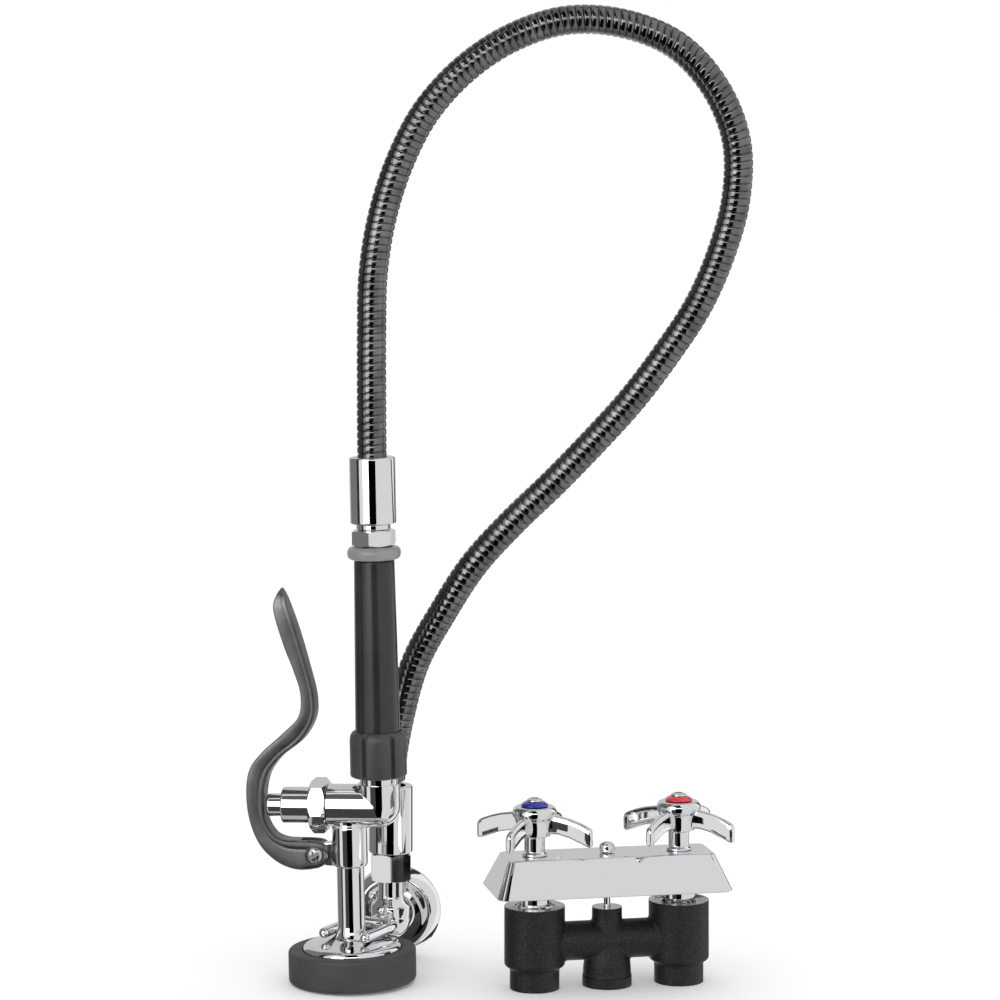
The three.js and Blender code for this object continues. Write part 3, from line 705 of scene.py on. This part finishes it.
# ---------------------------------------------------------------- spray valve: body
BARREL_RADIUS = 14.7
LEG_TOP = 140.3


def make_valve_body():
    body = "spray_valve"
    px, pz = PIVOT
    barrel = turned([(0, -22), (BARREL_RADIUS, -22), (BARREL_RADIUS, HANDLE_X), (0, HANDLE_X)])
    leg = turned([(0, BARREL_Z), (BARREL_RADIUS, BARREL_Z), (BARREL_RADIUS, LEG_TOP), (0, LEG_TOP)])
    stub = turned([
        (0, 78.5), (11, 78.5), (12.2, 80.1, 1), (12.2, 106.2, 0.8), (11.2, 107.4, 0.6), (11.4, BARREL_Z),
        (0, BARREL_Z),
    ])
    lug = [(-4, pz + 9), (px, pz + 7)]
    for i in range(13):
        angle = math.radians(90 + 15 * i)
        lug.append((px + 7 * math.cos(angle), pz + 7 * math.sin(angle)))
    lug += [(px, pz - 7), (-4, pz - 9)]
    solid = merged(
        shifted(barrel, move(0, 0, BARREL_Z) @ turn(90, "Y")),
        shifted(bmesh_sphere(BARREL_RADIUS), move(HANDLE_X, 0, BARREL_Z)),
        shifted(leg, move(HANDLE_X, 0, 0)),
        stub,
        shifted(prism(lug, -4, 4), turn(90, "X")),
    )
    solid = cast(solid, 0.42, 9)
    solid = cut(
        solid,
        shifted(cylinder(20, -40, -13.8), move(0, 0, BARREL_Z) @ turn(90, "Y")),
        shifted(turned([(13.2, 136), (20, 135), (20, 145), (13.2, 145)]), move(HANDLE_X, 0, 0)),
        shifted(cylinder(30, LEG_TOP, 150), move(HANDLE_X, 0, 0)),
        cylinder(9.8, 70, 97),
        cylinder(20, 70, 78.8),
    )
    place("valve_body_skin", solid, SPRAY, CAST_CHROME, body, ["valve_body"], "chrome", 50)
    nut = hexagon(19.3, -26.3, -14.1, -17.3, 2.6)
    nut = cut(nut, cylinder(12.6, -30, -12))
    place("bonnet_nut_skin", bevelled(nut, 0.7, 3), BARREL, CAST_CHROME, body, ["bonnet_nut"], "chrome", 60)
    bonnet = [
        (8.1, -46.4, 0.3), (12.4, -46.4, 1.4), (12.4, -21.8), (9, -21.8), (9, -12), (5.3, -12),
        (5.3, -18), (2.8, -18), (2.8, -34), (8.1, -34),
    ]
    place("bonnet_skin", turned(bonnet, 128), BARREL, CHROME, body, ["bonnet"], "chrome")
    button = [(0, -57.5), (7.8, -57.5, 2.2), (7.8, -42), (2.5, -42), (2.5, 16), (0, 16)]
    place("plunger_skin", turned(button), BARREL, CHROME, "plunger", ["plunger"], "chrome")


def squash_return_spring():
    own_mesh(frame["nodes"]["return_spring"])


# ---------------------------------------------------------------- spray valve: head
def make_spray_head():
    body = "spray_valve"
    bell = [
        (6.5, 96), (9.5, 96), (9.5, 37, 4), (10.4, 32.2, 3), (13, 29.2, 3), (17, 27.8, 3), (24, 26.9, 4),
        (31.5, 25.9, 3), (34, 23.6, 1.8), (34, 14), (29.6, 14), (29.6, 18.6), (14, 22.6), (6.5, 25),
    ]
    place("spray_bell_skin", turned(bell, 160), SPRAY, CHROME, body, ["spray_bell"], "chrome")
    bumper = [
        (34.4, 13.6), (34.4, 22.4, 0.6), (44, 22.4, 2.6), (44, 0.0, 3.4), (30, 0.0, 2), (30, 13.6),
    ]
    place("bumper_skin", turned(bumper, 160), SPRAY, BLACK_RUBBER, body, ["bumper"], "black_rubber")


# ---------------------------------------------------------------- spray valve: lever
# From the tip to the foot: (outer edge x, z), (inner edge x, z), half width.
LEVER_STATIONS = [
    ((-44.6, 270.5), (-43.4, 270.2), 1.6), ((-47.2, 266.4), (-42.0, 266.4), 5.2),
    ((-49.6, 258.6), (-40.4, 261.7), 7.6),
    ((-43.1, 232.8), (-33.8, 242.4), 8.5), ((-35.8, 213.4), (-26.7, 216.9), 8.5),
    ((-31.4, 197.4), (-21.7, 194.1), 8.5), ((-33.2, 182.4), (-22.6, 180.3), 8.5),
    ((-44.4, 170.7), (-30.5, 166.6), 8.5), ((-60.1, 156.9), (-46.9, 153.4), 8.5),
    ((-68.7, 145.4), (-55.5, 141.7), 8.5), ((-71.2, 126.6), (-58.8, 126.6), 8.5),
    ((-68.1, 106.6), (-57.9, 110.4), 8.5), ((-60.7, 91.4), (-51.5, 100.3), 8.5),
    ((-48.4, 80.8), (-44.5, 97.4), 8.5), ((-36.6, 76.7), (-36.0, 96.9), 8.5),
    ((-26.3, 77.0), (-25.3, 96.7), 8.5), ((-18.9, 78.9), (-18.5, 95.4), 8.5),
    ((-14.9, 83.0), (-14.7, 91.4), 8.5), ((-13.8, 86.2), (-13.8, 88.0), 8.5),
]
# Half of the lever's section: (share of the way from outer to inner edge, share of the half width).
LEVER_SECTION = [
    (0.0, 0.0), (0.0, 0.62), (0.02, 0.86), (0.07, 0.97), (0.14, 1.0), (0.30, 1.0), (0.40, 0.995),
    (0.50, 0.985), (0.60, 0.975), (0.67, 0.965), (0.70, 0.93), (0.72, 0.93), (0.75, 0.975),
    (0.84, 0.99), (0.94, 0.97), (0.985, 0.87), (1.0, 0.7), (1.0, 0.35),
]


def lever_mesh():
    """Cast lever: a section with rolled edges and a shallow side groove, along an S-curve."""
    outer = smooth_line([(x, z, 0) for (x, z), _, _ in LEVER_STATIONS], 8)
    inner = smooth_line([(x, z, w) for _, (x, z), w in LEVER_STATIONS], 8)
    section = LEVER_SECTION + [(1.0, -0.35)] + [(a, -y) for a, y in LEVER_SECTION[-2:0:-1]]
    rings = []
    for o, i in zip(outer, inner):
        rings.append([(o.x + (i.x - o.x) * a, y * i.z, o.y + (i.y - o.y) * a) for a, y in section])
    return loft(rings)


def make_lever():
    px, pz = PIVOT
    hole = shifted(cylinder(3.1, -12, 12, 32), move(px, 0, pz) @ turn(90, "X"))
    recess = shifted(cylinder(6.6, 7.3, 14, 48), move(px, 0, pz) @ turn(90, "X"))
    solid = cut(lever_mesh(), box((26, 8.8, 30), (-20.6, 0, pz)), hole, recess)
    place("lever_skin", solid, SPRAY, LEVER_METAL, "lever", ["lever"], "satin_metal", 35)
    head = turned([
        (0, -11.9), (2.8, -11.9), (2.8, 7.6), (5.6, 7.6, 0.3), (5.6, 8.9, 0.8), (3.6, 10.2, 1), (0, 10.4),
    ], 64)
    head = cut(head, box((7.2, 1.3, 3), (0, 0, 10.6)), box((1.3, 7.2, 3), (0, 0, 10.6)))
    where = SPRAY @ move(px, 0, pz) @ turn(90, "X") @ turn(25, "Z")
    place("lever_screw_skin", head, where, SCREW_STEEL, "spray_valve", ["lever_screw"], "steel")


# ---------------------------------------------------------------- mixing valve
POST_TOP = 53.5
CARTRIDGE_BORE = 13.4
PORT_RADIUS = 11
PLATE_FOOT = (164, 65)
PLATE_CROWN = (144.4, 36.4)
HUB_BOTTOM = -20


def end_barrel(side):
    outline = [
        (0, -2), (17, -2), (17, 13.6, 1), (20.8, 16.2, 1), (20.8, BODY_TOP + 2), (0, BODY_TOP + 2),
    ]
    return shifted(turned(outline), move(side * VALVE_SPACING / 2, 0, 0))


def make_mixer_body():
    centre = turned([
        (0, -2), (17, -2), (17, 7), (16.5, 7.6), (16.3, 15, 4), (13, 30, 4), (10.4, 44, 3),
        (10.3, 56), (0, 56),
    ])
    cross = shifted(cylinder(13.2, -48, 48, 96), move(0, 0, 31) @ turn(90, "Y"))
    solid = cast(merged(end_barrel(-1), end_barrel(1), centre, cross), 0.7, 6)
    tools = [
        shifted(cylinder(40, BODY_TOP, BODY_TOP + 9), move(-VALVE_SPACING / 2, 0, 0)),
        shifted(cylinder(40, BODY_TOP, BODY_TOP + 9), move(VALVE_SPACING / 2, 0, 0)),
        cylinder(12, POST_TOP, 60),
        cylinder(2.6, 47, 60, 32),
        cylinder(90, -6, 0, 96),
        cylinder(PORT_RADIUS, -1, 17),
        turned([(16.2, 6.5), (19, 6.5), (19, 7.3), (16.2, 7.3)]),
    ]
    for side in (-1, 1):
        shift = move(side * VALVE_SPACING / 2, 0, 0)
        tools.append(shifted(cylinder(CARTRIDGE_BORE, 30, BODY_TOP + 1), shift))
        tools.append(shifted(cylinder(PORT_RADIUS, -1, 17), shift))
        tools.append(shifted(cylinder(7, 15, 31), shift))
    solid = cut(solid, *tools)
    made = place("mixer_body_skin", solid, MIXER, CASTING, "wall_set", ["mixer_body"], "casting", 50)
    made.data.materials.append(MACHINED)
    mark_machined_faces(made)


def mark_machined_faces(made):
    """Gives the machined look to the casting's end faces and to its two cartridge bores above 40 mm."""
    inverse = MIXER.inverted() @ Matrix.Scale(1 / MM, 4)
    bore = 13.6
    for face in made.data.polygons:
        centre = inverse @ face.center
        flat = abs(face.normal.z) > 0.98
        on_end = flat and (centre.z < 0.2 or centre.z > BODY_TOP - 0.2 or abs(centre.z - POST_TOP) < 0.2)
        near_x = min(abs(centre.x - x) for x in (-VALVE_SPACING / 2, 0, VALVE_SPACING / 2))
        in_bore = math.hypot(near_x, centre.y) < bore and abs(face.normal.z) < 0.1 and centre.z > 40
        if on_end or (in_bore and near_x < bore and abs(centre.x) > 30):
            face.material_index = 1


def rounded_rectangle(width, depth, r, z, steps=8):
    outline = []
    for sx, sy, start in ((1, 1, 0), (-1, 1, 90), (-1, -1, 180), (1, -1, 270)):
        for i in range(steps + 1):
            angle = math.radians(start + 90 * i / steps)
            x = sx * (width / 2 - r) + r * math.cos(angle)
            y = sy * (depth / 2 - r) + r * math.sin(angle)
            outline.append((x, y, z))
    return outline


def make_escutcheon():
    def at(t, inset=0.0):
        width = PLATE_FOOT[0] + (PLATE_CROWN[0] - PLATE_FOOT[0]) * t - 2 * inset
        depth = PLATE_FOOT[1] + (PLATE_CROWN[1] - PLATE_FOOT[1]) * t - 2 * inset
        return width, depth, 7 - 2.4 * t

    rings = [rounded_rectangle(*at(0, 0.5), PLATE_BASE), rounded_rectangle(*at(0.01), PLATE_BASE + 0.5)]
    rings.append(rounded_rectangle(*at(0.94), PLATE_BASE + 22.4))
    crown = [
        (0.965, 0.75, 0.05), (0.985, 0.35, 0.3), (0.995, 0.1, 0.8), (1.0, 0.0, 1.6), (1.0, 0.0, 3.2),
    ]
    for t, drop, inset in crown:
        rings.append(rounded_rectangle(*at(t, inset), PLATE_TOP - drop))
    inner = loft([
        rounded_rectangle(158, 59, 5, PLATE_BASE - 1),
        rounded_rectangle(141, 32.4, 3.4, PLATE_TOP - 2.8),
    ])
    holes = [shifted(cylinder(7.8, 80, 100), move(s * VALVE_SPACING / 2, 0, 0)) for s in (-1, 1)]
    solid = cut(loft(rings), inner, *holes, cylinder(2.8, 80, 100, 32))
    place("escutcheon_skin", solid, MIXER, CHROME, "wall_set", ["escutcheon"], "chrome", 28)
    screw = turned([
        (0, 49), (2.3, 49), (2.3, PLATE_TOP + 0.3), (4.8, PLATE_TOP + 0.3), (5.3, PLATE_TOP + 1.2, 0.4),
        (5.3, PLATE_TOP + 5.6, 1.6), (3.2, PLATE_TOP + 6.9, 1.2), (0, PLATE_TOP + 7),
    ], 64)
    screw = cut(screw, shifted(box((12, 1.2, 2), (0, 0, PLATE_TOP + 6.6)), turn(34, "Z")))
    place("escutcheon_screw_skin", screw, MIXER, CHROME, "wall_set", ["escutcheon_screw"], "chrome")


def arm_rings():
    """Sections of one arm from the hub to the tip: (x, top z, bottom z, half width)."""
    stations = [
        (5, -3.4, -18.6, 3.6), (12, -4.4, -18.2, 3.3), (18, -5.2, -18.0, 3.0), (26, -6.6, -19.6, 2.8),
        (34, -8.9, -22.6, 2.8), (39, -10.9, -24.5, 2.8), (41.6, -12.2, -25.0, 2.6),
        (42.9, -14.0, -24.2, 1.9),
    ]
    rings = []
    for x, top, bottom, half in stations:
        rings.append([
            (x, -0.45 * half, bottom), (x, 0.45 * half, bottom), (x, 0.85 * half, bottom + 1.2),
            (x, half, bottom + 4), (x, half, top - 3.2), (x, 0.8 * half, top - 1.0),
            (x, 0.4 * half, top - 0.1), (x, -0.4 * half, top - 0.1), (x, -0.8 * half, top - 1.0),
            (x, -half, top - 3.2), (x, -half, bottom + 4), (x, -0.85 * half, bottom + 1.2),
        ])
    return rings


def handle_mesh(arm_angle, eye_turn):
    hub = turned([
        (0, 0), (13.2, 0, 1.0), (15.3, -2.4, 1.2), (15.3, -6, 2), (12.6, -9.5, 3), (11.2, HUB_BOTTOM),
        (0, HUB_BOTTOM),
    ])
    parts = [hub]
    for quarter in range(4):
        arm = loft(arm_rings())
        parts.append(shifted(arm, turn(arm_angle + 90 * quarter, "Z")))
    solid = cast(merged(*parts), 0.42, 6)
    eye = shifted(cylinder(3.6, -6, 6, 48), move(34.5, 0, -15) @ turn(90, "X"))
    return cut(solid, shifted(eye, turn(arm_angle + eye_turn, "Z")), cylinder(3.5, -12, 2, 32),
               cylinder(6.8, -22, -11, 48))


def make_valve_side(prefix, where, index_look, index_slot, arm_angle, eye_turn):
    top = where @ move(0, 0, HANDLE_TOP)
    body = f"{prefix}_handle"
    place(f"{prefix}_handle_skin", handle_mesh(arm_angle, eye_turn), top, CAST_CHROME, body,
          [f"{prefix}_handle"], "chrome", 45)
    index = turned([
        (3.4, 0.3), (9.4, 0.3, 0.4), (9.3, 1.2, 0.8), (7.4, 2.8, 1.4), (5.9, 3.2, 0.4), (3.4, 3.2),
    ])
    place(f"{prefix}_index_skin", index, top, index_look, body, [f"{prefix}_index_ring"], index_slot)
    screw = turned([
        (0, -5.4), (2.6, -5.4), (2.6, 3.5), (5.5, 3.5, 0.3), (5.3, 4.6, 0.7), (3.4, 5.4, 0.8), (0, 5.5),
    ], 64)
    screw = cut(screw, box((6.6, 1.2, 2.4), (0, 0, 5.7)), box((1.2, 6.6, 2.4), (0, 0, 5.7)))
    place(f"{prefix}_handle_screw_skin", screw, top @ turn(20, "Z"), CHROME, body,
          [f"{prefix}_handle_screw"], "chrome")
    sleeve = [
        (5.9, 79), (7.2, 79), (7.2, PLATE_TOP + 0.3), (8.8, PLATE_TOP + 0.3, 0.4),
        (8.8, PLATE_TOP + 1.5, 0.5), (7.2, PLATE_TOP + 2.8, 0.5), (7.2, 103.6, 0.6), (5.9, 103.6),
    ]
    place(f"{prefix}_sleeve_skin", turned(sleeve), where, CHROME, "wall_set",
          [f"{prefix}_stem_sleeve"], "chrome")
    cartridge = turned([
        (3.3, 41), (12.9, 41), (12.9, 55.8), (11.6, 56.9), (11.6, 62), (7.4, 62.6), (7.4, 78),
        (5.6, 78.4), (5.6, 104), (3.3, 104),
    ], 64)
    place(f"{prefix}_bonnet_skin", cartridge, where, CHROME, "wall_set", [f"{prefix}_bonnet"], "chrome")


# ---------------------------------------------------------------- pieces kept from the CAD
def dress_kept_nodes():
    looks = {
        "chrome": CHROME, "steel": SCREW_STEEL, "satin_metal": LEVER_METAL, "brass": BRASS,
        "casting": CASTING, "grip_rubber": GRIP_RUBBER, "grey_plastic": GREY_PLASTIC,
        "black_rubber": BLACK_RUBBER, "cold_blue": COLD_BLUE, "hot_red": HOT_RED,
    }
    for entry in frame["record"]["subparts"]:
        node = frame["nodes"][entry["node"]]
        node.data.materials.clear()
        node.data.materials.append(looks[entry["material_slot"]])


# ---------------------------------------------------------------- studio
def emitter(name, level):
    made = bpy.data.materials.new(name)
    made.use_nodes = True
    tree = made.node_tree
    tree.nodes.clear()
    glow = tree.nodes.new("ShaderNodeEmission")
    glow.inputs["Color"].default_value = (1, 1, 1, 1)
    glow.inputs["Strength"].default_value = level
    out = tree.nodes.new("ShaderNodeOutputMaterial")
    tree.links.new(glow.outputs["Emission"], out.inputs["Surface"])
    return made


CARD_RADIUS = 6.0
CARD_CENTRE_Z = 0.25
CARD_ROWS = 8
CARD_COLUMNS = 16
FLOOR_GLOW = 0.11


def studio_card(name, level, azimuths, elevations):
    """A curved card round the set that only reflections see. Azimuth 0 is behind the camera."""
    rows = []
    for i in range(CARD_ROWS + 1):
        elevation = math.radians(elevations[0] + (elevations[1] - elevations[0]) * i / CARD_ROWS)
        row = []
        for k in range(CARD_COLUMNS + 1):
            azimuth = math.radians(azimuths[0] + (azimuths[1] - azimuths[0]) * k / CARD_COLUMNS)
            x = CARD_RADIUS * math.cos(elevation) * math.sin(azimuth)
            y = -CARD_RADIUS * math.cos(elevation) * math.cos(azimuth)
            row.append((x, y, CARD_CENTRE_Z + CARD_RADIUS * math.sin(elevation)))
        rows.append(row)
    made = bmesh.new()
    grid = [[made.verts.new(v) for v in row] for row in rows]
    for i in range(CARD_ROWS):
        for k in range(CARD_COLUMNS):
            made.faces.new((grid[i][k], grid[i][k + 1], grid[i + 1][k + 1], grid[i + 1][k]))
    card = object_from(name, made)
    card.data.materials.append(emitter(name, level))
    card.visible_camera = False
    card.visible_diffuse = False
    card.visible_shadow = False


def make_studio():
    world = bpy.data.worlds.new("studio")
    world.use_nodes = True
    world.node_tree.nodes["Background"].inputs["Color"].default_value = (1, 1, 1, 1)
    world.node_tree.nodes["Background"].inputs["Strength"].default_value = 1.0
    bpy.context.scene.world = world
    floor = bmesh.new()
    bmesh.ops.create_grid(floor, x_segments=1, y_segments=1, size=12)
    plane = object_from("studio_floor", floor)
    white = shader("floor_white", (0.96, 0.96, 0.96), 0.9)
    glow = white.node_tree.nodes["Principled BSDF"]
    glow.inputs["Emission Color"].default_value = (1, 1, 1, 1)
    glow.inputs["Emission Strength"].default_value = FLOOR_GLOW
    plane.data.materials.append(white)
    plane.visible_glossy = False
    studio_card("card_front_low", 0.0, (-18, 17), (-60, 10))
    studio_card("card_front_high", 0.0, (-18, 17), (26, 75))
    studio_card("softbox_strip", 2.6, (-47, -18), (-8, 40))
    studio_card("card_strip_low", 0.06, (-47, -18), (-60, -8))
    studio_card("card_strip_high", 0.12, (-47, -18), (40, 75))
    studio_card("card_left_soft", 0.85, (-68, -47), (-60, 75))
    studio_card("softbox_top", 2.2, (-18, 17), (10, 26))
    studio_card("card_back", 0.62, (150, 220), (-20, 75))
    studio_card("card_left_line", 0.03, (-82, -68), (-60, 75))
    studio_card("card_left", 0.2, (-140, -82), (-60, 75))
    studio_card("card_right", 0.8, (17, 118), (-60, 75))
    studio_card("card_right_line", 0.04, (134, 150), (-60, 75))
    studio_card("card_over", 0.6, (-180, 180), (76, 90))
    studio_card("card_under", 0.5, (-180, 180), (-90, -60))
    scene = bpy.context.scene
    scene.view_settings.view_transform = "Standard"
    scene.view_settings.look = "None"


make_camera()
make_hose()
dress_kept_nodes()
make_outlet()
make_handle()
make_valve_body()
squash_return_spring()
make_spray_head()
make_lever()
make_mixer_body()
make_escutcheon()
make_valve_side("cold", COLD, COLD_BLUE, "cold_blue", COLD_ARMS, 90)
make_valve_side("hot", HOT, HOT_RED, "hot_red", HOT_ARMS, 180)
make_studio()
